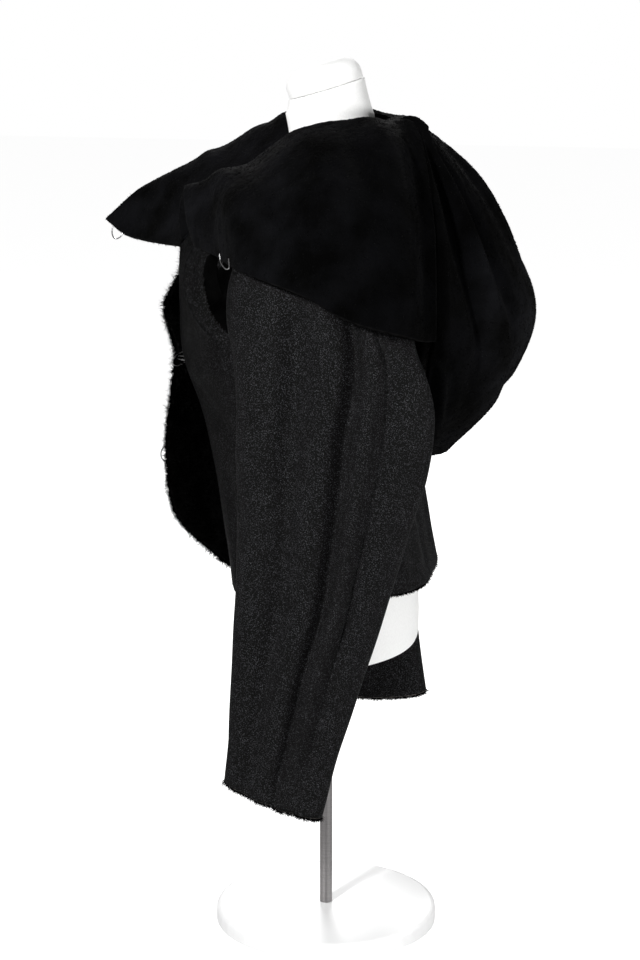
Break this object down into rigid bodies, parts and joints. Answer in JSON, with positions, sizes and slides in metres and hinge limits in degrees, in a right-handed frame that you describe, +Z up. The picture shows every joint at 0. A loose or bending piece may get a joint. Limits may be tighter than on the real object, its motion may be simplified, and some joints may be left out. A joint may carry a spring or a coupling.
{
  "type": "shearling jacket on a limbless dress form",
  "caption": "Cropped black jacket, skin outside and wool inside, with a wide turned-down wool collar, a hanging hood and wire hooks, on a white limbless dress form with a pole stand",
  "frame": {"origin": "middle of the stand base's underside, on the floor", "axes": "+Z up along the stand's pole; the wearer faces -Y; the wearer's left is +X"},
  "size_m": [0.6155, 0.5999, 1.1714],
  "materials": {
    "skin": "soft grain with a fine glint",
    "wool": "clipped curly wool pile",
    "wire": "bright wire",
    "form_cloth": "smooth white jersey",
    "stand_steel": "brushed",
    "stand_paint": "satin white"
  },
  "bodies": {
    "root": {"back": "skin", "front_left": "skin", "front_right": "skin", "sleeve_left_top": "skin", "sleeve_left_under": "skin", "sleeve_right_top": "skin", "sleeve_right_under": "skin", "collar_left": "wool", "collar_right": "wool", "hood": "wool", "hook_collar": "wire", "eye_collar": "wire", "hook_upper": "wire", "hook_waist": "wire", "eye_waist": "wire", "eye_lower": "wire", "form_body": "form_cloth", "form_neck_cap": "form_cloth", "form_socket": "stand_steel", "stand_pole": "stand_steel", "stand_base": "stand_paint"}
  },
  "joints": []
}
